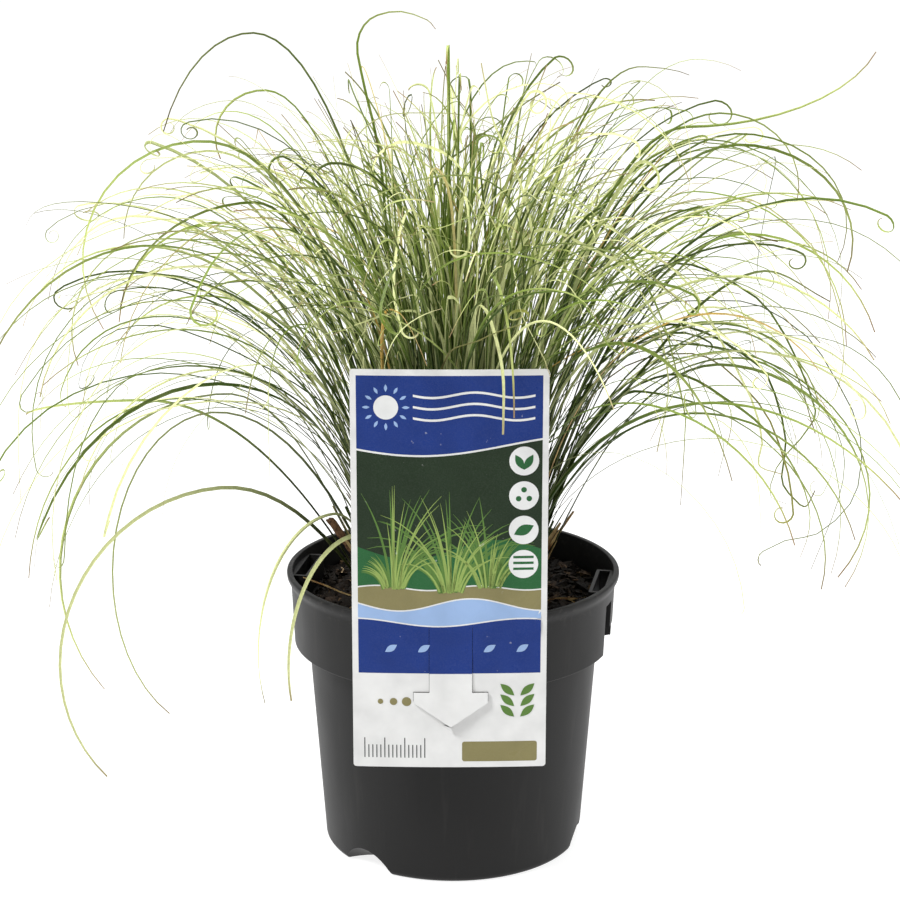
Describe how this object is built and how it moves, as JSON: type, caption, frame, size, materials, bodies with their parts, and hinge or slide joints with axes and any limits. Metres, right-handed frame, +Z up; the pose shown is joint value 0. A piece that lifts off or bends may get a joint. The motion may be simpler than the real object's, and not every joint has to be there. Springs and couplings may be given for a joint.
{
  "type": "potted sedge",
  "caption": "Fountain-shaped clump of hair-fine arching sedge leaves in a round nursery pot of potting mix, with an upright plant label hooked over the rim.",
  "frame": {"origin": "centre of the pot's underside, on the surface that the pot stands on", "axes": "+Z up along the pot's axis, -Y towards the label, +X to the right seen from the label's side"},
  "size_m": [0.3543, 0.3524, 0.343],
  "materials": {
    "pot_plastic": "charcoal moulded plastic, matte with a faint sheen",
    "potting_mix": "damp bark mix, rough and matte",
    "label_card": "printed plastic card, white with blue and green fields, satin",
    "leaf": "green leaf blade, satin, paling to cream towards the tip"
  },
  "bodies": {
    "root": {"pot": "pot_plastic", "potting_mix": "potting_mix", "label": "label_card", "tuft_01": "leaf", "tuft_02": "leaf", "tuft_03": "leaf", "tuft_04": "leaf", "tuft_05": "leaf", "tuft_06": "leaf", "tuft_07": "leaf", "tuft_08": "leaf", "tuft_09": "leaf", "tuft_10": "leaf"}
  },
  "joints": []
}
